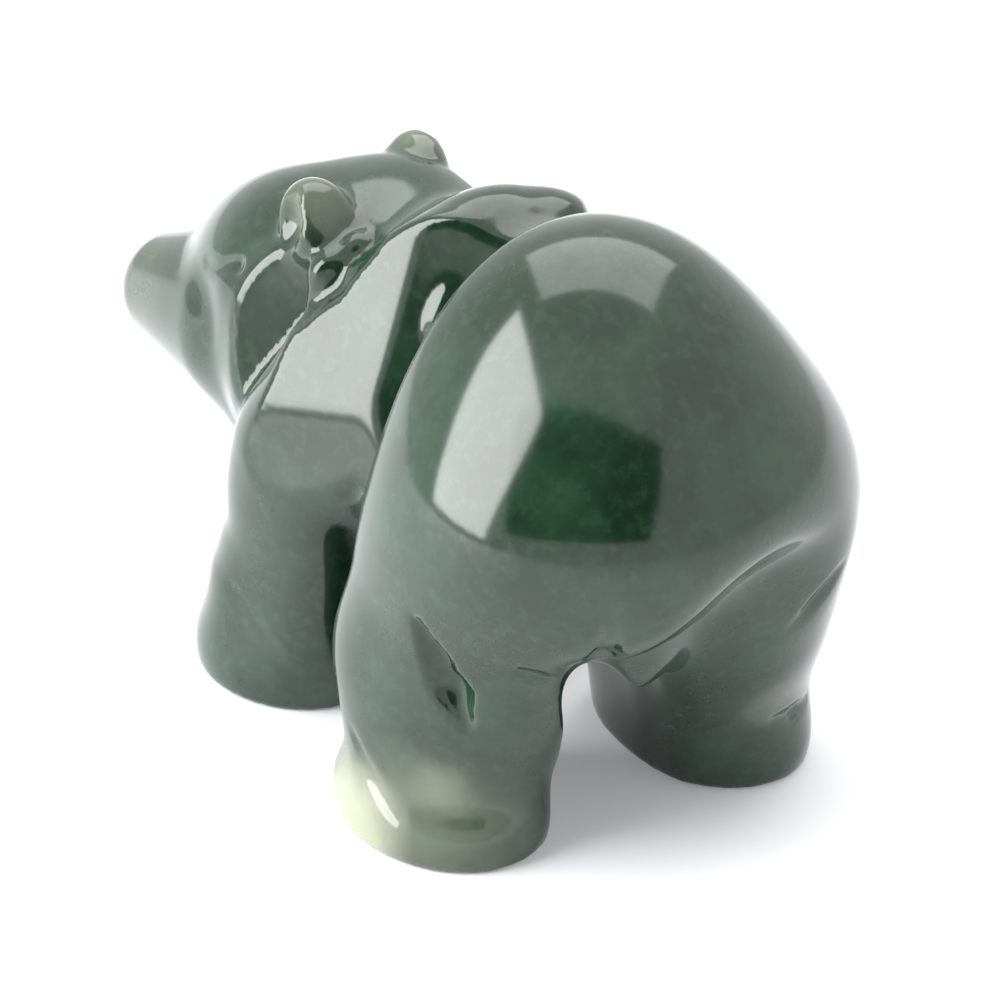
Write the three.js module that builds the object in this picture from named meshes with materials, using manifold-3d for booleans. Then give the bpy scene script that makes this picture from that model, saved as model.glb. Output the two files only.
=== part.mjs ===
// A walking bear carved from one block of green nephrite jade and polished, standing on four feet.
// Millimetres, +Z up. The bear walks towards -Y, and its left side is +X.
// The origin is on the ground, under the middle of the carving's bounding box.
//
// The carving is laid out the way a carver roughs one out: rounded masses that swell out of each other.
// Masses of one form melt together over a wide fillet, so its skin is smooth, and a form is joined to the
// rest over a narrow one, which leaves the crisp valleys between haunch, flank, shoulder and head.
import * as THREE from "three";
import { mergeVertices } from "three/addons/utils/BufferGeometryUtils.js";
import Module from "manifold-3d";

// Driving size: the finished length, from nose to rump. The masses are laid out on a maquette of about 75
// units, and the finished carving is the maquette brought to this length.
const LENGTH = 64;

// The maquette's net: the width of its cells, and the block of space that it fills.
const CELL = 1.8;
const NET_LOW = [-24, -46, -5.6];
const NET_HIGH = [24, 40, 50];

// The feet are carved longer than they end up, and sawn off flat on the ground.
const SAWN_OFF = 2;
const SAW_BLOCK = 200;

// Fillets, as widths of the band over which two masses melt together.
const SOFT = 5;
const FIRM = 2;
const CRISP = 0.8;

const POLISHED_JADE = { color: 0x2f5a3c, roughness: 0.12, metalness: 0 };

const degrees = THREE.MathUtils.degToRad;

// Masses. Each is a function that gives a point's distance to the mass's skin, negative inside.

// An egg. turn is its rotation about X, then Y, then Z, in degrees.
function egg(at, radii, turn = [0, 0, 0]) {
  const place = new THREE.Vector3(...at);
  const size = new THREE.Vector3(...radii);
  const spin = new THREE.Quaternion().setFromEuler(new THREE.Euler(...turn.map(degrees), "ZYX"));
  spin.invert();
  const smallest = Math.min(...radii);
  const p = new THREE.Vector3();
  return (x, y, z) => {
    p.set(x, y, z).sub(place).applyQuaternion(spin).divide(size);
    const near = p.length();
    const slope = p.divide(size).length();
    return slope > 0 ? (near * (near - 1)) / slope : -smallest;
  };
}

// A limb: the hull of two balls.
function limb(from, fromRadius, to, toRadius) {
  const start = new THREE.Vector3(...from);
  const along = new THREE.Vector3(...to).sub(start);
  const length = along.length();
  along.normalize();
  const taper = (fromRadius - toRadius) / length;
  const slant = Math.sqrt(1 - taper * taper);
  const p = new THREE.Vector3();
  return (x, y, z) => {
    p.set(x, y, z).sub(start);
    const travelled = p.dot(along);
    const aside = Math.sqrt(Math.max(p.lengthSq() - travelled * travelled, 0));
    const reach = THREE.MathUtils.clamp(travelled - (aside * taper) / slant, 0, length);
    return Math.hypot(aside, travelled - reach) - fromRadius + taper * reach;
  };
}

// Melts two distances into one over a fillet.
function melted(d, e, fillet) {
  const overlap = Math.max(fillet - Math.abs(d - e), 0) / fillet;
  return Math.min(d, e) - (overlap * overlap * fillet) / 4;
}

function joined(fillet, first, ...others) {
  return (x, y, z) => others.reduce((d, mass) => melted(d, mass(x, y, z), fillet), first(x, y, z));
}

function cut(fillet, mass, ...tools) {
  return (x, y, z) => -tools.reduce((d, tool) => melted(d, tool(x, y, z), fillet), -mass(x, y, z));
}

// Rump. Its underside rises towards the back and is ground away behind the right thigh, and the stub of a
// tail stands out beside that hollow.
const rump = joined(
  FIRM,
  cut(
    FIRM,
    joined(SOFT, egg([0, 15, 28.5], [15.5, 15.3, 18.6]), egg([0, 19.3, 27.3], [17.6, 15.2, 13.2])),
    egg([0, 45, -38], [60, 60, 60]),
    egg([-7.5, 40, 14.8], [14.5, 14.5, 14.5]),
  ),
  limb([2.6, 17, 27], 8, [2.6, 21.5, 18.6], 5.6),
);

// Haunches. Both melt into the rump, and end in a crisp edge in front, where a wide sweep parts them from
// the flank.
const leftHaunch = egg([9.4, 13.4, 17.2], [8.8, 11.6, 14], [-10, 0, 0]);
const rightHaunch = egg([-9.8, 14.6, 17], [9.9, 11.6, 17], [-20, 0, 0]);
const haunches = cut(FIRM, joined(SOFT, rump, leftHaunch, rightHaunch), egg([0, -49.2, 31], [60, 60, 60]));

// Shanks and hind feet, and the hollow behind the left hock.
const leftShank = joined(
  FIRM,
  limb([11.2, 11.3, 12], 7, [11.5, 12.3, 3], 6.9),
  egg([11.6, 12.3, 1.5], [7.7, 10, 6.3]),
);
const rightShank = joined(
  FIRM,
  limb([-11.5, 12, 12], 7.4, [-12, 12, 3], 7),
  egg([-12.1, 11.5, 1.5], [7.5, 10.4, 6.3]),
);
const leftHock = limb([17.8, 19.5, 20], 1.2, [13.2, 20.7, 11.5], 1.9);
const hindquarters = cut(FIRM, joined(SOFT, haunches, leftShank, rightShank), leftHock);

const flank = egg([0, 2, 27], [12.8, 18, 15.8]);

// Forequarters: the hump between the shoulders, and each shoulder, foreleg and foot.
const hump = egg([0, -2.6, 28], [12, 8.6, 16.6], [-14, 0, 0]);
const leftForeleg = joined(
  SOFT,
  egg([9.2, -4.2, 30], [5, 6, 15], [-27, -21, 0]),
  limb([11.2, -8.2, 21.5], 5.2, [11.1, -13, 9], 6),
  egg([10.9, -13.8, 1.5], [7, 8.7, 6]),
);
const rightForeleg = joined(
  SOFT,
  egg([-9.2, -4.2, 30], [5, 6, 15], [-27, 21, 0]),
  limb([-11.2, -8.2, 21.5], 5.2, [-11.1, -13, 9], 6),
  egg([-10.9, -13.8, 1.5], [7, 8.7, 6]),
);
const forequarters = joined(FIRM, hump, leftForeleg, rightForeleg);

// Neck and throat, and the head, which is turned a little to the left and lowered.
const throat = egg([4.5, -19, 22], [8, 8, 9]);
const neck = joined(SOFT, limb([0.5, -7, 29.6], 10.8, [4, -18, 29], 10.2), throat);
const skull = egg([5, -22, 26.8], [9, 12, 10.8], [25, 0, -12]);
const leftCheek = egg([7.8, -14, 26.5], [7.2, 7.6, 11]);
const rightCheek = egg([-0.2, -16.2, 26.5], [7.2, 7.6, 11]);
const muzzle = limb([6.8, -20, 25.8], 8.9, [9.1, -34.9, 23.7], 4.7);
const leftEar = egg([8.5, -13, 37.8], [2.4, 4, 4], [0, 15, -15]);
const rightEar = egg([-3.2, -17, 37.4], [2.4, 3.8, 3.8], [0, -15, 0]);
const head = joined(CRISP, joined(FIRM, neck, skull), leftCheek, rightCheek, muzzle, leftEar, rightEar);

// The arch that runs between the legs from chest to tail.
const arch = egg([0, 10, 0], [4.8, 60, 13.4]);

const body = cut(CRISP, joined(CRISP, joined(FIRM, flank, hindquarters), forequarters, head), arch);
const maquette = (x, y, z) => Math.max(body(x, y, z), -SAWN_OFF - z);

// Moves a point down the slope of a distance function until it lies on the skin, a quarter cell at most at
// a time, so that no point leaves its own cell.
const DRAWING_ROUNDS = 3;
const SLOPE_STEP = 0.01;
const LEAST_SLOPE = 0.05;
const LONGEST_MOVE = 0.25;
function drawnOnto(distance, point, cell) {
  const p = new THREE.Vector3(...point);
  const step = cell * SLOPE_STEP;
  for (let round = 0; round < DRAWING_ROUNDS; round++) {
    const d = distance(p.x, p.y, p.z);
    const slope = new THREE.Vector3(
      distance(p.x + step, p.y, p.z) - d,
      distance(p.x, p.y + step, p.z) - d,
      distance(p.x, p.y, p.z + step) - d,
    );
    slope.divideScalar(step);
    slope.multiplyScalar(-d / Math.max(slope.lengthSq(), LEAST_SLOPE));
    p.add(slope.clampLength(0, cell * LONGEST_MOVE));
  }
  return p.toArray();
}

// The corners of a cell, and the edges between them as pairs of corner numbers. A corner's number has one
// bit for each axis.
const AXIS_BITS = [1, 2, 4];
const CORNERS = Array.from({ length: 8 }, (_, c) => AXIS_BITS.map((bit) => (c & bit ? 1 : 0)));
const EDGES = CORNERS.flatMap((_, c) =>
  AXIS_BITS.filter((bit) => !(c & bit)).map((bit) => [c, c | bit]),
);

// The middle of the places where a cell's edges pass through the skin, in cell widths from its low corner,
// or null for a cell that the skin doesn't pass.
function crossing(values) {
  const sum = new THREE.Vector3();
  const from = new THREE.Vector3();
  let crossed = 0;
  for (const [a, b] of EDGES) {
    if (values[a] < 0 === values[b] < 0) continue;
    from.set(...CORNERS[a]);
    sum.add(from.lerp(new THREE.Vector3(...CORNERS[b]), values[a] / (values[a] - values[b])));
    crossed += 1;
  }
  return crossed > 0 ? sum.divideScalar(crossed) : null;
}

// A square of the grid is pinched where its corners lie in and out by turns. The net would run through it
// twice, so the carving is filled there, just over its corners.
const PINCH_FILL = 0.1;
const pinched = ([a, b, c, d]) => a === c && b === d && a !== b;

// Skins a distance function with a net: a vertex in each cell that the skin passes, and two triangles
// across each cell edge that it crosses.
function skinned(distance, low, high, cell) {
  const count = low.map((v, axis) => Math.ceil((high[axis] - v) / cell) + 1);
  const strides = [1, count[0], count[0] * count[1]];
  const values = new Float64Array(strides[2] * count[2]);
  const eachCell = (first, visit) => {
    for (let k = first; k < count[2] - 1; k++) {
      for (let j = first; j < count[1] - 1; j++) {
        for (let i = first; i < count[0] - 1; i++) visit([i, j, k], i + j * strides[1] + k * strides[2]);
      }
    }
  };
  values.forEach((_, n) => {
    const i = n % count[0];
    const j = Math.floor(n / count[0]) % count[1];
    const k = Math.floor(n / strides[2]);
    values[n] = distance(low[0] + i * cell, low[1] + j * cell, low[2] + k * cell);
  });
  let pinches = 1;
  while (pinches > 0) {
    pinches = 0;
    eachCell(0, (_, n) => {
      strides.forEach((stride, axis) => {
        const square = [n, n + stride, n + stride + strides[(axis + 1) % 3], n + strides[(axis + 1) % 3]];
        if (!pinched(square.map((corner) => values[corner] < 0))) return;
        for (const corner of square) values[corner] = Math.min(values[corner], -PINCH_FILL * cell);
        pinches += 1;
      });
    });
  }

  const points = [];
  const pointOf = new Map();
  const cornerSteps = CORNERS.map((corner) => corner.reduce((sum, v, axis) => sum + v * strides[axis], 0));
  eachCell(0, (at, n) => {
    const middle = crossing(cornerSteps.map((step) => values[n + step]));
    if (!middle) return;
    pointOf.set(n, points.length / 3);
    const point = middle.toArray().map((v, axis) => low[axis] + (at[axis] + v) * cell);
    points.push(...drawnOnto(distance, point, cell));
  });

  const faces = [];
  eachCell(1, (at, n) => {
    strides.forEach((stride, axis) => {
      const inside = values[n] < 0;
      if (inside === values[n + stride] < 0) return;
      const u = strides[(axis + 1) % 3];
      const v = strides[(axis + 2) % 3];
      const ring = [n - u - v, n - v, n, n - u].map((c) => pointOf.get(c));
      if (!inside) ring.reverse();
      const [a, b, c, d] = ring;
      faces.push(a, b, c, a, c, d);
    });
  });

  const geometry = new THREE.BufferGeometry();
  geometry.setAttribute("position", new THREE.Float32BufferAttribute(points, 3));
  geometry.setIndex(faces);
  return geometry;
}

const wasm = await Module();
wasm.setup();

const WELD = 1e-5;
function solidOf(geometry) {
  const bare = geometry.clone();
  bare.deleteAttribute("normal");
  bare.deleteAttribute("uv");
  const welded = mergeVertices(bare, WELD);
  const mesh = new wasm.Mesh({
    numProp: 3,
    vertProperties: welded.attributes.position.array,
    triVerts: new Uint32Array(welded.index.array),
  });
  return new wasm.Manifold(mesh);
}

function geometryOf(solid) {
  const mesh = solid.getMesh();
  const geometry = new THREE.BufferGeometry();
  geometry.setAttribute("position", new THREE.BufferAttribute(new Float32Array(mesh.vertProperties), 3));
  geometry.setIndex(new THREE.BufferAttribute(new Uint32Array(mesh.triVerts), 1));
  return geometry;
}

// The feet are sawn flat. Points of the net that lie close to the saw's plane are first moved onto it, so
// that the cut leaves no slivers.
const CLOSE_TO_SAW = 0.2 * CELL;
const net = skinned(maquette, NET_LOW, NET_HIGH, CELL);
const heights = net.attributes.position;
for (let v = 0; v < heights.count; v++) {
  if (Math.abs(heights.getZ(v)) < CLOSE_TO_SAW) heights.setZ(v, 0);
}
const ground = new THREE.BoxGeometry(SAW_BLOCK, SAW_BLOCK, SAW_BLOCK);
ground.translate(0, 0, -SAW_BLOCK / 2);
const geometry = geometryOf(solidOf(net).subtract(solidOf(ground)));

// The maquette is brought to its length and its place.
geometry.computeBoundingBox();
const extent = geometry.boundingBox.getSize(new THREE.Vector3());
const middle = geometry.boundingBox.getCenter(new THREE.Vector3());
geometry.translate(-middle.x, -middle.y, 0);
const scale = LENGTH / extent.y;
geometry.scale(scale, scale, scale);
geometry.computeVertexNormals();

const bear = new THREE.Mesh(geometry, new THREE.MeshStandardMaterial(POLISHED_JADE));
bear.name = "bear";

const carving = new THREE.Group();
carving.name = "jade_bear";
carving.add(bear);

export default carving;
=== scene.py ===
"""A bear carved from one block of nephrite jade: its fine polished skin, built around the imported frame,
and the white light tent that it stands in."""

import math

import bpy
import numpy as np
from bpy.props import FloatProperty, FloatVectorProperty, PointerProperty
from mathutils import Euler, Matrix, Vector


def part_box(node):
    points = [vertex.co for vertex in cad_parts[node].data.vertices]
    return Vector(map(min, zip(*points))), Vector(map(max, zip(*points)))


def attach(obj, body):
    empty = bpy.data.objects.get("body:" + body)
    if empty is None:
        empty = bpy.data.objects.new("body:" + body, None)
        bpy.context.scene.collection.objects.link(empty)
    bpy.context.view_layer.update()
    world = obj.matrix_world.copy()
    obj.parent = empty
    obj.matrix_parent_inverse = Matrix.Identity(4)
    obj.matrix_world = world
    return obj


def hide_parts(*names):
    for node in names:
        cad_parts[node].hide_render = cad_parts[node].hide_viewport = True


bl_info = {
    "name": "Jade Bear Carving",
    "version": (1, 0, 0),
    "blender": (4, 5, 0),
    "location": "View3D > Sidebar > Jade Bear",
    "description": "Blocks out, carves and polishes a small jade bear, and lights it in a white tent",
    "category": "Object",
}

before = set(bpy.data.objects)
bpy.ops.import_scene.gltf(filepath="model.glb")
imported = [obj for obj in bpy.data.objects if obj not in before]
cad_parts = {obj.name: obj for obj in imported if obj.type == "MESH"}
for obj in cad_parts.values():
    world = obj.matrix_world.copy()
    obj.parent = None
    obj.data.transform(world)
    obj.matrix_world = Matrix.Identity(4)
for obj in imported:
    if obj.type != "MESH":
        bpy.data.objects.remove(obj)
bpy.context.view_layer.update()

# The forms are laid out on a maquette, in its own units, and brought to the size of the frame's box. These
# are the maquette's own corners.
MAQUETTE_LOW = Vector((-20.4, -39.6, 0))
MAQUETTE_HIGH = Vector((19.4, 34.5, 47.1))
BEAR_LOW, BEAR_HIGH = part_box("bear")
UNIT = (BEAR_HIGH.y - BEAR_LOW.y) / (MAQUETTE_HIGH.y - MAQUETTE_LOW.y)
MAQUETTE_MIDDLE = Vector(((MAQUETTE_LOW.x + MAQUETTE_HIGH.x) / 2, (MAQUETTE_LOW.y + MAQUETTE_HIGH.y) / 2, 0))
MM = 0.001

# Fillets, as widths of the band over which two forms melt together, in the maquette's units.
SOFT = 5
BROAD = 3.5
FIRM = 2
CRISP = 0.8
SHARP = 0.4

TINY = 1e-9


def linear(hex_colour):
    """An sRGB hex colour as a linear colour with alpha."""
    values = [int(hex_colour[i : i + 2], 16) / 255 for i in (1, 3, 5)]
    return tuple(v / 12.92 if v <= 0.04045 else ((v + 0.055) / 1.055) ** 2.4 for v in values) + (1.0,)


def at_real_size(point):
    """A point of the maquette, in metres in the frame."""
    return (Vector(point) - MAQUETTE_MIDDLE) * UNIT


# Work on one block of stone at a time.


def pick(piece):
    """Selects a piece and nothing else."""
    bpy.ops.object.select_all(action="DESELECT")
    piece.select_set(True)
    bpy.context.view_layer.objects.active = piece
    return piece


def apply_modifier(piece, kind, **settings):
    """Adds a modifier to a piece with its settings, and applies it."""
    pick(piece)
    modifier = piece.modifiers.new(kind.title(), kind)
    for name, value in settings.items():
        setattr(modifier, name, value)
    bpy.ops.object.modifier_apply(modifier=modifier.name)
    return piece


def fused(pieces, grain):
    """Joins blocks into one closed skin of even faces, grain wide."""
    pick(pieces[0])
    for piece in pieces[1:]:
        piece.select_set(True)
    if len(pieces) > 1:
        bpy.ops.object.join()
    return apply_modifier(bpy.context.object, "REMESH", mode="VOXEL", voxel_size=grain)


# Forms. Each knows its distance function, which is negative inside, and how it is blocked out as a mesh.

BALL_SEGMENTS = 48
BALL_RINGS = 24
BLOCKING_GRAIN = 0.6
FLAT_RADIUS = 150


class Form:
    """A form of the carving. A stroke of the wheel is only ground in, and has no block."""

    def __init__(self, distance, block_out):
        self.distance = distance
        self.block_out = block_out


def add_ball(at, radii, turn=(0, 0, 0)):
    """Adds a ball, stretched to its radii and then turned."""
    bpy.ops.object.select_all(action="DESELECT")
    bpy.ops.mesh.primitive_uv_sphere_add(
        segments=BALL_SEGMENTS,
        ring_count=BALL_RINGS,
        radius=1,
        location=at,
        rotation=[math.radians(a) for a in turn],
        scale=radii,
    )
    bpy.ops.object.transform_apply(location=True, rotation=True, scale=True)
    return bpy.context.object


def egg(at, radii, turn=(0, 0, 0)):
    """An egg. turn is its rotation about X, then Y, then Z, in degrees."""
    spin = np.array(Euler([math.radians(a) for a in turn]).to_matrix())
    place, size = np.array(at, float), np.array(radii, float)

    def distance(points):
        p = (points - place) @ spin / size
        near = np.linalg.norm(p, axis=1)
        slope = np.linalg.norm(p / size, axis=1)
        return near * (near - 1) / np.maximum(slope, TINY)

    return Form(distance, lambda: add_ball(at, radii, turn))


def flat(point, outward):
    """A grinding disc so wide that it cuts a flat: it reaches outward from a point."""
    outward = Vector(outward).normalized()
    return egg(Vector(point) + outward * FLAT_RADIUS, [FLAT_RADIUS] * 3)


def limb(start, start_radius, end, end_radius):
    """A limb: the hull of two balls."""
    origin = np.array(start, float)
    along = np.array(end, float) - origin
    length = np.linalg.norm(along)
    along /= length
    taper = (start_radius - end_radius) / length
    slant = math.sqrt(1 - taper * taper)

    def distance(points):
        p = points - origin
        travelled = p @ along
        aside = np.sqrt(np.maximum((p * p).sum(1) - travelled**2, 0))
        reach = np.clip(travelled - aside * taper / slant, 0, length)
        return np.hypot(aside, travelled - reach) - start_radius + taper * reach

    def block_out():
        first = add_ball(start, [start_radius] * 3)
        second = add_ball(end, [end_radius] * 3)
        pick(first)
        second.select_set(True)
        bpy.ops.object.join()
        bpy.ops.object.mode_set(mode="EDIT")
        bpy.ops.mesh.select_all(action="SELECT")
        bpy.ops.mesh.convex_hull()
        bpy.ops.object.mode_set(mode="OBJECT")
        return first

    return Form(distance, block_out)


def melted(d, e, fillet):
    """Two distances melted into one over a fillet."""
    overlap = np.maximum(fillet - np.abs(d - e), 0) / fillet
    return np.minimum(d, e) - overlap * overlap * fillet / 4


def joined(fillet, first, *others):
    """Forms melted into one."""

    def distance(points):
        d = first.distance(points)
        for form in others:
            d = melted(d, form.distance(points), fillet)
        return d

    def block_out():
        return fused([form.block_out() for form in (first, *others)], BLOCKING_GRAIN)

    return Form(distance, block_out)


def cut(fillet, form, *tools):
    """A form with tools taken away from it."""

    def distance(points):
        d = -form.distance(points)
        for tool in tools:
            d = melted(d, tool.distance(points), fillet)
        return -d

    def block_out():
        block = form.block_out()
        for tool in tools:
            cutter = tool.block_out()
            apply_modifier(block, "BOOLEAN", operation="DIFFERENCE", object=cutter, solver="EXACT")
            bpy.data.objects.remove(cutter)
        return block

    return Form(distance, block_out)


def ground(fillet, form, *tools):
    """A form with shallow cuts, which are too fine to block out and come when the skin is ground."""
    return Form(cut(fillet, form, *tools).distance, form.block_out)


def chain(*balls):
    """A chain of limbs. Each ball is its place and its radius."""
    links = [limb(*balls[i], *balls[i + 1]) for i in range(len(balls) - 1)]
    return joined(CRISP, *links)


def hindquarters():
    """Rump, haunches and hind legs. The rump's underside is taken away behind the right thigh, the haunches
    are swept back in front, and a wedge is ground in behind the left hock."""
    rump = joined(
        FIRM,
        cut(
            BROAD,
            joined(SOFT, egg((0, 15, 28.5), (15.5, 15.3, 18.6)), egg((0, 19.3, 27.3), (17.6, 15.2, 13.2))),
            egg((0, 45, -38), (60, 60, 60)),
            egg((-7.5, 40, 14.8), (14.5, 14.5, 14.5)),
        ),
        limb((2.6, 17, 27), 8, (2.6, 21.5, 18.6), 5.6),
    )
    left_haunch = egg((9.4, 13.4, 17.2), (8.8, 11.6, 14), (-10, 0, 0))
    right_haunch = egg((-9.8, 14.6, 17), (9.9, 11.6, 17), (-20, 0, 0))
    sweep = egg((0, -49.2, 31), (60, 60, 60))
    haunches = cut(FIRM, joined(SOFT, rump, left_haunch, right_haunch), sweep)
    left_shank = joined(
        FIRM, limb((11.2, 11.3, 12), 7, (11.5, 12.3, 3), 6.9), egg((11.6, 12.3, 1.5), (7.7, 10, 6.3))
    )
    right_shank = joined(
        FIRM, limb((-11.5, 12, 12), 7.4, (-12, 12, 3), 7), egg((-12.1, 11.5, 1.5), (7.5, 10.4, 6.3))
    )
    left_hock = chain(
        ((17.8, 19.7, 21.6), 0.5), ((17, 20.8, 18.9), 1.2), ((16, 21.5, 16.3), 1.5), ((14.9, 21.8, 13.2), 0.5)
    )
    return ground(SHARP, joined(SOFT, haunches, left_shank, right_shank), left_hock)


def foreleg(side):
    """Shoulder, foreleg and foot, filled out behind. side is 1 for the bear's left."""
    leg = joined(
        SOFT,
        egg((side * 9.2, -4.2, 30), (5, 6, 15), (-27, side * -21, 0)),
        egg((side * 10.6, -2.6, 27.5), (4.2, 4.6, 7)),
        limb((side * 11.2, -8.2, 21.5), 5.2, (side * 11.1, -13, 9), 6),
        egg((side * 10.9, -13.8, 1.5), (7, 8.7, 6)),
    )
    return joined(FIRM, leg, limb((side * 10.8, -7, 19.5), 4.6, (side * 10.7, -9, 5), 5))


def forequarters():
    """Hump, shoulders and forelegs."""
    hump = egg((0, -2.6, 28), (12, 8.6, 16.6), (-14, 0, 0))
    return joined(FIRM, hump, foreleg(1), foreleg(-1))


# The head's turn to its left, in degrees, and a point on its middle line.
HEAD_TURN = 18
HEAD_MIDDLE = (5, -22)


def across_head(path):
    """A path on the other side of the turned head."""
    across = (math.cos(math.radians(HEAD_TURN)), math.sin(math.radians(HEAD_TURN)))
    result = []
    for x, y, z in path:
        aside = (x - HEAD_MIDDLE[0]) * across[0] + (y - HEAD_MIDDLE[1]) * across[1]
        result.append((x - 2 * aside * across[0], y - 2 * aside * across[1], z))
    return result


def head():
    """Neck and head, turned a little to the left and lowered. Two flats on each side of the head meet in a
    ridge, which runs from the ear to the eye and down the cheek, and each ear is cupped."""
    throat = egg((4.5, -19, 22), (8, 8, 9))
    neck = joined(SOFT, limb((0.5, -7, 29.6), 10.8, (4, -18, 29), 10.2), throat)
    skull = egg((5, -22, 26.8), (9, 12, 10.8), (25, 0, -12))
    crown = egg((-0.8, -15, 32.8), (6, 7, 7))
    left_cheek = egg((7.8, -14, 26.5), (7.2, 7.6, 11))
    right_cheek = egg((-0.2, -16.2, 26.5), (7.2, 7.6, 11))
    nose = egg((9.8, -38, 24.5), (2.3, 1.5, 1.4), (20, 0, -5))
    muzzle = joined(SHARP, limb((7.2, -23, 25.5), 7.8, (9.1, -34.9, 23.7), 4.7), nose)
    solid = joined(CRISP, joined(FIRM, joined(SOFT, neck, crown), skull), left_cheek, right_cheek)
    left_ear = egg((8, -12.7, 37.8), (3, 4, 4), (0, 15, -15))
    right_ear = egg((-2.7, -17.3, 37.4), (2.4, 3.8, 4.2), (0, -15, 0))
    left_ear_back = flat((8.3, -10.4, 39.8), (0.1, 0.75, 0.65))
    cheek_flats = []
    cups = []
    for side_of in (list, across_head):
        for disc_middle in side_of([(125.2, 79.8, 64.9), (161.1, -45.2, 42.9)]):
            cheek_flats.append(egg(disc_middle, [FLAT_RADIUS] * 3))
        top, middle, low = side_of([(10.3, -13, 41.5), (11.6, -12.8, 38.9), (12.3, -12.9, 37.3)])
        cups.append(chain((top, 0.5), (middle, 1.9), (low, 1.5)))
    ears = joined(CRISP, cut(CRISP, left_ear, left_ear_back), right_ear)
    return ground(SHARP, joined(CRISP, ground(SHARP, solid, *cheek_flats), muzzle, ears), *cups)


def whole_bear():
    """The whole carving. Each shoulder has a large flat with a flat under it and one behind it, and a small
    leaf stands on the one behind. Valleys part the haunch from the shoulder, and the shoulder from the
    collar."""
    flank = egg((0, 2, 27), (12.8, 18, 15.8))
    arch = egg((0, 10, 0), (4.8, 60, 13.4))
    gap = chain(((8.3, 29, 18.6), 1.2), ((1.3, 17, 8.5), 4), ((0.8, 17, 0), 4.8))
    shoulder_flats = [
        flat((15.9, -5, 25.9), (0.8, 0.42, 0.43)),
        flat((-17.1, -4.4, 26.5), (-0.8, 0.42, 0.43)),
    ]
    flats_behind = [
        flat((8, 1.1, 35.3), (0.685, 0.648, 0.33)),
        flat((-9.4, 2.4, 36.3), (-0.685, 0.648, 0.33)),
    ]
    leaves, haunch_valleys, collars, collar_valleys = [], [], [], []
    for side in (1, -1):
        shoulder_flats.append(flat((side * 13.4, -2.4, 27.9), (side * 0.865, 0.458, 0.204)))
        leaves.append(egg((side * 5.5, 2.1, 36.6), (1.1, 1.1, 2.8), (0, side * -28, 0)))
        top, middle, low = (side * 6.1, 4.4, 41.3), (side * 9.1, 4.4, 35.3), (side * 12.4, 4.8, 28)
        haunch_valleys.append(chain((top, 1.2), (middle, 1.2), (low, 1.1)))
        low, middle, top = (side * 10.5, -8.7, 33.9), (side * 9.3, -8.4, 36), (side * 7.2, -8.1, 38)
        collars.append(chain((low, 0.8), (middle, 1.7), (top, 1)))
        low, middle, top = (side * 12.6, -7.6, 33.4), (side * 10.8, -6, 36.8), (side * 8.2, -4.2, 40.2)
        collar_valleys.append(chain((low, 0.7), (middle, 1.2), (top, 0.8)))
    trunk = ground(SHARP, joined(CRISP, flank, forequarters()), *flats_behind)
    trunk = ground(SHARP, joined(SHARP, trunk, *leaves), *shoulder_flats)
    body = joined(CRISP, joined(BROAD, trunk, hindquarters()), head())
    body = ground(CRISP, joined(CRISP, body, *collars), *collar_valleys, *haunch_valleys)
    return cut(FIRM, body, arch, gap)


# Strokes of the grinding wheel: grooves in a skin. They are too fine to block out, and come when the skin is
# ground.

SLOPE_STEP = 0.01
LEAST_SLOPE = 0.05
LONGEST_MOVE = 0.6
DRAWING_ROUNDS = 3
STROKE_SPACING = 1.2
FAR = 20.0


def slope_of(distance, points, d):
    """The slope of a distance function at points where it is d."""
    return np.stack([distance(points + step) - d for step in np.eye(3) * SLOPE_STEP], axis=1) / SLOPE_STEP


def drawn_onto(distance, points):
    """Moves points down the slope of a distance function until they lie on the form's skin."""
    for _ in range(DRAWING_ROUNDS):
        d = distance(points)
        slope = slope_of(distance, points, d)
        move = slope * (-d / np.maximum((slope * slope).sum(1), LEAST_SLOPE))[:, None]
        reach = np.maximum(np.linalg.norm(move, axis=1, keepdims=True), TINY)
        points = points + move * np.minimum(1, LONGEST_MOVE / reach)
    return points


def stroke(skin, path, radii, bites):
    """A stroke along a skin, by a round tool that bites into it. radii and bites run from the start of the
    path to its end."""
    path = np.array(path, float)
    travelled = np.concatenate([[0], np.cumsum(np.linalg.norm(np.diff(path, axis=0), axis=1))])
    stops = np.linspace(0, travelled[-1], max(2, round(travelled[-1] / STROKE_SPACING) + 1))
    places = np.stack([np.interp(stops, travelled, path[:, axis]) for axis in range(3)], axis=1)
    for _ in range(DRAWING_ROUNDS):
        places = drawn_onto(skin.distance, places)
    outward = slope_of(skin.distance, places, skin.distance(places))
    outward /= np.linalg.norm(outward, axis=1, keepdims=True)
    share = stops / stops[-1]
    radius = np.interp(share, np.linspace(0, 1, len(radii)), radii)
    bite = np.interp(share, np.linspace(0, 1, len(bites)), bites)
    centres = places + outward * (radius - bite)[:, None]
    links = [
        limb(centres[i], radius[i], centres[i + 1], radius[i + 1]).distance for i in range(len(centres) - 1)
    ]
    middle = centres.mean(0)
    reach = np.linalg.norm(centres - middle, axis=1).max() + radius.max() + FIRM

    def distance(points):
        d = np.full(len(points), FAR)
        near = np.linalg.norm(points - middle, axis=1) < reach
        if near.any():
            d[near] = np.min([link(points[near]) for link in links], axis=0)
        return d

    return Form(distance, None)


def across_body(path):
    """A path on the other side of the body."""
    return [(-x, y, z) for x, y, z in path]


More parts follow.
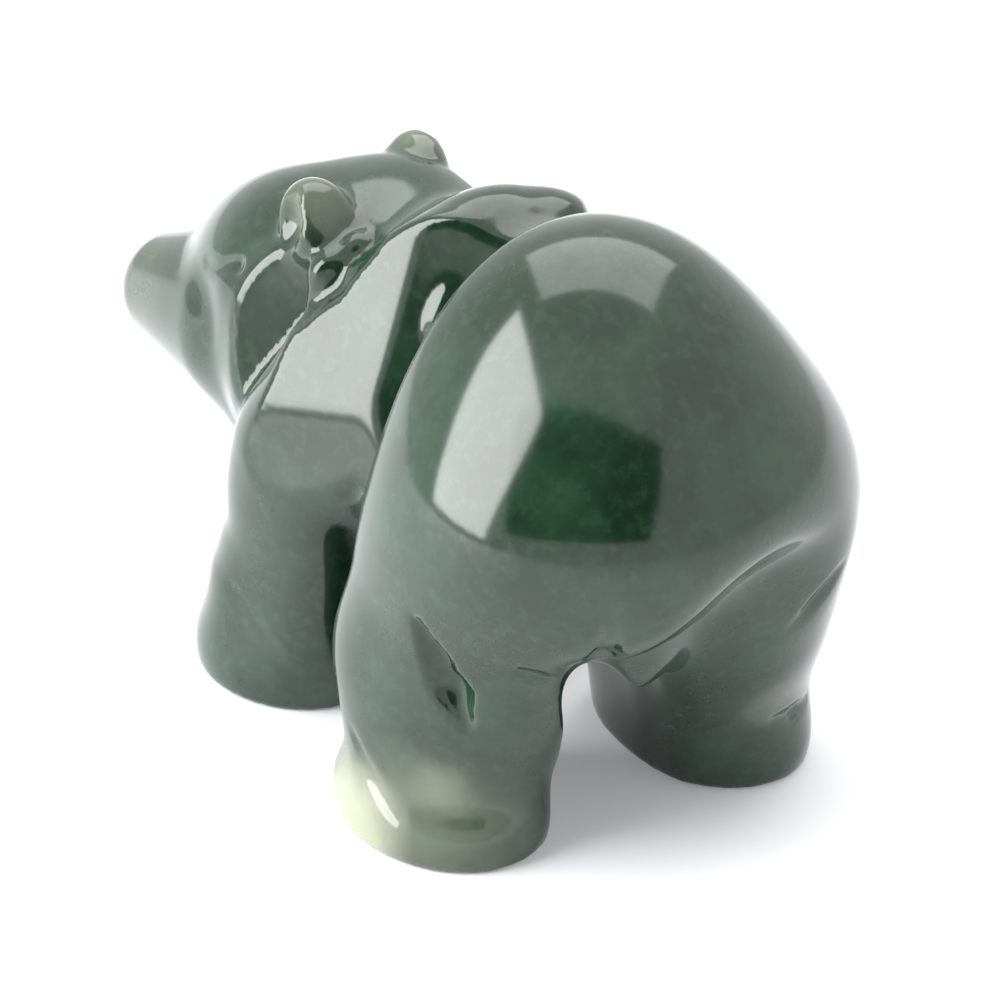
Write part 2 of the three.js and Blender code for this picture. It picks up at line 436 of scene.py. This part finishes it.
def head_strokes(skin):
    """The eyes, on both sides of the head, the nostrils and the mouth."""
    lips = [(12.9, -36.5, 22.3), (11.8, -38, 21.6), (9.9, -39, 21.2), (7.8, -38.7, 21.6), (6.2, -37.6, 22.3)]
    eye = [(13.4, -21.8, 32.3), (13.6, -19.5, 33), (12.9, -17.2, 34)]
    left_nostril = [(10.9, -39.2, 24.9), (11.2, -38.9, 24.4)]
    right_nostril = [(8.8, -39.2, 24.9), (8.5, -38.9, 24.4)]
    return [
        stroke(skin, lips, (0.4, 0.6, 0.4), (0.1, 0.3, 0.1)),
        stroke(skin, [(9.9, -39.4, 23.2), (9.9, -39.2, 21.3)], (0.4, 0.5), (0.2, 0.25)),
        stroke(skin, eye, (0.6, 1), (0.15, 0.45)),
        stroke(skin, left_nostril, (0.5, 0.5), (0.35, 0.35)),
        stroke(skin, across_head(eye), (0.6, 1), (0.15, 0.45)),
        stroke(skin, right_nostril, (0.5, 0.5), (0.35, 0.35)),
    ]


def leg_strokes(skin):
    """Wrists and shins, on both sides."""
    wrist = [(17, -11.5, 9.2), (16.4, -9.6, 7.5), (15.7, -8.5, 6.5), (15, -7.5, 5.2), (13.7, -6.2, 3.5)]
    shin = [(18.8, 11.6, 8.5), (18.5, 13.3, 6.4), (18.2, 15, 5), (17.9, 16.8, 3.6)]
    strokes = []
    for side_of in (list, across_body):
        strokes += [
            stroke(skin, side_of(wrist), (1.2, 1.5, 1.2), (0.05, 0.22, 0.1)),
            stroke(skin, side_of(shin), (0.7, 1, 0.7), (0.1, 0.3, 0.1)),
        ]
    return strokes


def rear_strokes(skin):
    """The creases of the left thigh, beside the tail, behind the right thigh and above the right heel."""
    thigh = [(13.1, 26.3, 19.5), (12, 26.6, 18.9), (11, 26.9, 18.3)]
    tail_side = [(9, 32.3, 26), (8.6, 31.5, 23.6), (8.2, 30, 21)]
    return [
        stroke(skin, thigh, (0.5, 0.6, 0.4), (0.1, 0.4, 0.1)),
        stroke(skin, tail_side, (0.5, 1.2, 1.5), (0.1, 0.6, 0.8)),
        stroke(skin, [(-13.7, 27.9, 21.4), (-10.2, 27.3, 17.3)], (0.5, 0.8, 0.5), (0.1, 0.5, 0.1)),
        stroke(skin, [(-16.3, 19.7, 5.3), (-11.8, 22.2, 6.1)], (0.5, 0.8, 0.5), (0.1, 0.5, 0.1)),
    ]


def finished_bear(rough):
    """The roughed-out bear with all its fine strokes."""
    return ground(SHARP, rough, *head_strokes(rough), *leg_strokes(rough), *rear_strokes(rough))


# Grinding: the blocked-out skin is moved onto the carved form, and its faces are evened out in between.

GRINDING_ROUNDS = 2
EVENING_PASSES = 3
POLISHING_PASSES = 2


def vertices_of(mesh):
    """A mesh's vertices, a row for each."""
    points = np.empty(len(mesh.vertices) * 3, np.float32)
    mesh.vertices.foreach_get("co", points)
    return points.reshape(-1, 3).astype(float)


def set_vertices(mesh, points):
    """Moves a mesh's vertices to points."""
    mesh.vertices.foreach_set("co", points.astype(np.float32).ravel())
    mesh.update()


def grind(piece, distance, grain):
    """Moves a piece's skin onto a form, gives it even faces, grain wide, and polishes it."""
    for _ in range(GRINDING_ROUNDS):
        set_vertices(piece.data, drawn_onto(distance, vertices_of(piece.data)))
        apply_modifier(piece, "REMESH", mode="VOXEL", voxel_size=grain)
        apply_modifier(piece, "SMOOTH", factor=0.5, iterations=EVENING_PASSES)
    set_vertices(piece.data, drawn_onto(distance, vertices_of(piece.data)))
    apply_modifier(piece, "SMOOTH", factor=0.5, iterations=POLISHING_PASSES)


# Materials.


def add_node(tree, kind, settings=None, links=None):
    """Adds a node with its settings, where a key may be a property or an input, and links to its inputs."""
    node = tree.nodes.new(kind)
    for name, value in (settings or {}).items():
        if isinstance(name, str) and hasattr(node, name):
            setattr(node, name, value)
        else:
            node.inputs[name].default_value = value
    for name, source in (links or {}).items():
        tree.links.new(source, node.inputs[name])
    return node


def blended(tree, first, second, share):
    """The first colour, which may be a node's output, mixed with the second by a share."""
    mix = add_node(tree, "ShaderNodeMix", {"data_type": "RGBA", 7: second[:] + (1.0,)}, {0: share})
    if isinstance(first, bpy.types.NodeSocket):
        tree.links.new(first, mix.inputs[6])
    else:
        mix.inputs[6].default_value = first[:] + (1.0,)
    return mix.outputs[2]


# Sizes of the stone's clouds, of its fine grain and of the waves in the edges of its pale spots, and how far
# those edges wave.
CLOUD_SIZE = 7 * MM
STONE_GRAIN_SIZE = 0.9 * MM
WAVE_SIZE = 4 * MM
WAVE_SHARE = 0.0015

# Pale, yellowish spots: a place on the maquette, its reach, and its strength. Within the core, as a share of
# the reach, a spot is at its palest. The strong spot on the toes of the left hind foot and the spot on the
# left ear are painted glow, of light shining through the thin stone; the other spots make the stone paler at
# their places.
PALE_CORE = 0.35
PALE_AND_GLOW_SPOTS = (
    # painted glow: light shining through the thin toes of the left hind foot
    ((19.5, 12.5, 1.5), 7.5, 0.9),
    ((15.5, 18, 4), 9, 0.2),
    ((15.5, 19, 7.5), 3.5, 0.25),
    ((14, -33, 25), 8, 0.06),
    # painted glow: light shining through the thin left ear
    ((9, -11.5, 40.5), 4, 0.2),
    ((-3.5, -16.5, 40.5), 4, 0.3),
    ((-2, 31.5, 24.5), 2, 0.12),
    ((-10, 23.5, 9.5), 3.5, 0.12),
)


def polished_nephrite(settings):
    """Nephrite jade, ground and polished to a mirror gloss. The stone is dark green and lets a little light
    in, so that thin parts glow, and paler clouds drift through it."""
    material = bpy.data.materials.new("polished_nephrite")
    material.use_nodes = True
    tree = material.node_tree
    tree.nodes.clear()
    place = add_node(tree, "ShaderNodeTexCoord").outputs["Object"]
    waves = add_node(tree, "ShaderNodeTexNoise", {"Scale": 1 / WAVE_SIZE, "Detail": 3.0}, {"Vector": place})
    waved = add_node(
        tree,
        "ShaderNodeMix",
        {"data_type": "VECTOR", 0: WAVE_SHARE},
        {4: place, 5: waves.outputs["Color"]},
    ).outputs[1]
    clouds = add_node(
        tree,
        "ShaderNodeTexNoise",
        {"Scale": 1 / CLOUD_SIZE, "Detail": 5.0, "Roughness": 0.6},
        {"Vector": place},
    )
    grain = add_node(
        tree,
        "ShaderNodeTexNoise",
        {"Scale": 1 / STONE_GRAIN_SIZE, "Detail": 3.0, "Roughness": 0.6},
        {"Vector": place},
    )
    cloud_share = add_node(
        tree,
        "ShaderNodeMapRange",
        {"From Min": 0.45, "From Max": 0.75, "To Max": 0.7},
        {0: clouds.outputs[0]},
    )
    grain_share = add_node(
        tree,
        "ShaderNodeMapRange",
        {"From Min": 0.5, "From Max": 0.75, "To Max": 0.5},
        {0: grain.outputs[0]},
    )
    colour = blended(tree, settings.stone_colour, settings.cloud_colour, cloud_share.outputs[0])
    colour = blended(tree, colour, settings.cloud_colour, grain_share.outputs[0])
    # Pale spots mixed into the colour; on the toes of the left hind foot and on the left ear they are painted
    # glow
    for at, reach, strength in PALE_AND_GLOW_SPOTS:
        near = add_node(
            tree, "ShaderNodeVectorMath", {"operation": "DISTANCE", 1: at_real_size(at)}, {0: waved}
        ).outputs["Value"]
        share = add_node(
            tree,
            "ShaderNodeMapRange",
            {
                "interpolation_type": "SMOOTHSTEP",
                "From Min": reach * UNIT,
                "From Max": PALE_CORE * reach * UNIT,
                "To Max": strength,
            },
            {0: near},
        )
        colour = blended(tree, colour, settings.pale_and_glow_colour, share.outputs[0])
    shader = add_node(
        tree,
        "ShaderNodeBsdfPrincipled",
        {
            "Roughness": 0.12,
            "IOR": 1.62,
            "Subsurface Weight": 0.5,
            "Subsurface Scale": 1.2 * MM,
            "Subsurface Radius": (0.7, 1.0, 0.6),
        },
        {"Base Color": colour},
    )
    add_node(tree, "ShaderNodeOutputMaterial", links={"Surface": shader.outputs["BSDF"]})
    return material


def plain(name, colour, roughness, glow=0):
    """A plain matt surface for the stage, which may glow in its own colour."""
    material = bpy.data.materials.new(name)
    material.use_nodes = True
    shader = material.node_tree.nodes["Principled BSDF"]
    shader.inputs["Base Color"].default_value = colour
    shader.inputs["Roughness"].default_value = roughness
    shader.inputs["Emission Color"].default_value = colour
    shader.inputs["Emission Strength"].default_value = glow
    return material


class BearSettings(bpy.types.PropertyGroup):
    """Sizes and colours of the carving."""

    grain: FloatProperty(
        name="Skin grain",
        description="Width of the faces of the fine skin",
        default=0.35 * MM,
        unit="LENGTH",
    )
    stone_colour: FloatVectorProperty(
        name="Stone",
        description="Colour of the dark stone",
        subtype="COLOR",
        default=linear("#13291a")[:3],
    )
    cloud_colour: FloatVectorProperty(
        name="Clouds",
        description="Colour of the paler clouds",
        subtype="COLOR",
        default=linear("#2a4a35")[:3],
    )
    # Colour of the pale spots, which also paints the glow on the toes of the left hind foot and on the left
    # ear
    pale_and_glow_colour: FloatVectorProperty(
        name="Pale_spots_and_glow",
        description="Colour of the palest stone",
        subtype="COLOR",
        default=linear("#a5aa92")[:3],
    )


class StageSettings(bpy.types.PropertyGroup):
    """Brightnesses of the tent and of the area lights."""

    tent_brightness: FloatProperty(
        name="Tent",
        description="Brightness of the white tent",
        default=1.15,
        min=0,
    )
    light_brightness: FloatProperty(
        name="Lights",
        description="Brightness of the area lights",
        default=1,
        min=0,
    )


class JADE_OT_carve_bear(bpy.types.Operator):
    """Blocks out the bear from rounded forms, grinds it to its fine skin and polishes it"""

    bl_idname = "jade.carve_bear"
    bl_label = "Carve Bear"

    def execute(self, context):
        settings = context.scene.jade_bear
        rough = whole_bear()
        form = finished_bear(rough)

        def above_ground(points):
            return np.maximum(form.distance(points), -points[:, 2])

        piece = rough.block_out()
        apply_modifier(piece, "REMESH", mode="VOXEL", voxel_size=settings.grain / UNIT)
        grind(piece, above_ground, settings.grain / UNIT)
        set_vertices(piece.data, (vertices_of(piece.data) - np.array(MAQUETTE_MIDDLE)) * UNIT)
        pick(piece)
        bpy.ops.object.shade_smooth()
        piece.name = "bear_carving"
        piece.data.name = "bear_carving"
        piece.data.materials.clear()
        piece.data.materials.append(polished_nephrite(settings))
        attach(piece, "root")
        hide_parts("bear")
        return {"FINISHED"}


# The camera: angles in degrees, the sensor in mm, and the focal length and the picture's width in pixels.
CAMERA_AZIMUTH = 150
CAMERA_ELEVATION = 28
CAMERA_DISTANCE = 400 * UNIT
CAMERA_AIM = at_real_size((0, 1, 18.4))
CAMERA_NEAR = 0.01
SENSOR = 36
FOCAL_PIXELS = 5200
FRAME_PIXELS = 1000

# The floor's paper is also lit a little from below.
FLOOR_SIZE = 1.2
PAPER_GLOW = 0.25

# The lights are aimed at the rump.
LIGHTS_AIM = at_real_size((0, 15, 25))

# Area lights: name, azimuth, elevation, distance, width, height and brightness.
LIGHTS = (("left_panel", 76, 28, 0.5, 0.36, 0.5, 8.0), ("ceiling", -34, 62, 0.8, 0.9, 0.7, 2.5))

# The tent's opening, which shows dark in the polish: azimuth, elevation, distance, width and height.
OPENING = (139, 34, 0.75, 1.05, 0.66)


def direction(azimuth, elevation):
    """The unit vector that points to an azimuth, from -Y towards +X, and an elevation, in degrees."""
    a, e = math.radians(azimuth), math.radians(elevation)
    return Vector((math.sin(a) * math.cos(e), -math.cos(a) * math.cos(e), math.sin(e)))


def aimed(towards):
    """The rotation that looks along a vector, level with the ground."""
    return towards.to_track_quat("-Z", "Y").to_euler()


class JADE_OT_set_stage(bpy.types.Operator):
    """Sets the floor, the light tent and the camera"""

    bl_idname = "jade.set_stage"
    bl_label = "Set Stage"

    def execute(self, context):
        settings = context.scene.jade_stage
        bpy.ops.object.select_all(action="DESELECT")
        bpy.ops.mesh.primitive_plane_add(size=FLOOR_SIZE, location=(0, 0, 0))
        floor = bpy.context.object
        floor.name = "floor"
        floor.data.materials.append(plain("lit_white_paper", linear("#e2e3e6"), 0.6, PAPER_GLOW))

        world = bpy.data.worlds.new("light_tent")
        context.scene.world = world
        world.use_nodes = True
        background = world.node_tree.nodes["Background"]
        background.inputs["Color"].default_value = (1, 1, 1, 1)
        background.inputs["Strength"].default_value = settings.tent_brightness

        for name, azimuth, elevation, distance, width, height, brightness in LIGHTS:
            place = LIGHTS_AIM + direction(azimuth, elevation) * distance
            bpy.ops.object.light_add(type="AREA", location=place, rotation=aimed(LIGHTS_AIM - place))
            light = bpy.context.object
            light.name = name
            light.data.shape = "RECTANGLE"
            light.data.size = width
            light.data.size_y = height
            light.data.energy = brightness * math.pi * width * height * settings.light_brightness

        azimuth, elevation, distance, width, height = OPENING
        place = LIGHTS_AIM + direction(azimuth, elevation) * distance
        bpy.ops.object.select_all(action="DESELECT")
        bpy.ops.mesh.primitive_plane_add(size=1, location=place, rotation=aimed(LIGHTS_AIM - place))
        card = bpy.context.object
        card.name = "dark_opening"
        card.scale = (width, height, 1)
        card.data.materials.append(plain("dark_cloth", linear("#101010"), 0.9))

        place = CAMERA_AIM + direction(CAMERA_AZIMUTH, CAMERA_ELEVATION) * CAMERA_DISTANCE
        bpy.ops.object.camera_add(location=place, rotation=aimed(CAMERA_AIM - place))
        camera = bpy.context.object
        camera.name = "camera"
        camera.data.sensor_width = SENSOR
        camera.data.lens = SENSOR * FOCAL_PIXELS / FRAME_PIXELS
        camera.data.clip_start = CAMERA_NEAR
        context.scene.camera = camera
        context.scene.view_settings.view_transform = "Standard"
        return {"FINISHED"}


class JADE_PT_panel(bpy.types.Panel):
    """The carving's steps and settings, in the 3D view's sidebar"""

    bl_label = "Jade Bear"
    bl_space_type = "VIEW_3D"
    bl_region_type = "UI"
    bl_category = "Jade Bear"

    def draw(self, context):
        for settings in (context.scene.jade_bear, context.scene.jade_stage):
            for name in settings.__annotations__:
                self.layout.prop(settings, name)
        for operator in (JADE_OT_carve_bear, JADE_OT_set_stage):
            self.layout.operator(operator.bl_idname)


CLASSES = (BearSettings, StageSettings, JADE_OT_carve_bear, JADE_OT_set_stage, JADE_PT_panel)


def register():
    for cls in CLASSES:
        bpy.utils.register_class(cls)
    bpy.types.Scene.jade_bear = PointerProperty(type=BearSettings)
    bpy.types.Scene.jade_stage = PointerProperty(type=StageSettings)


def unregister():
    del bpy.types.Scene.jade_stage
    del bpy.types.Scene.jade_bear
    for cls in reversed(CLASSES):
        bpy.utils.unregister_class(cls)


def main():
    register()
    bpy.ops.jade.carve_bear()
    bpy.ops.jade.set_stage()


if __name__ == "__main__":
    main()
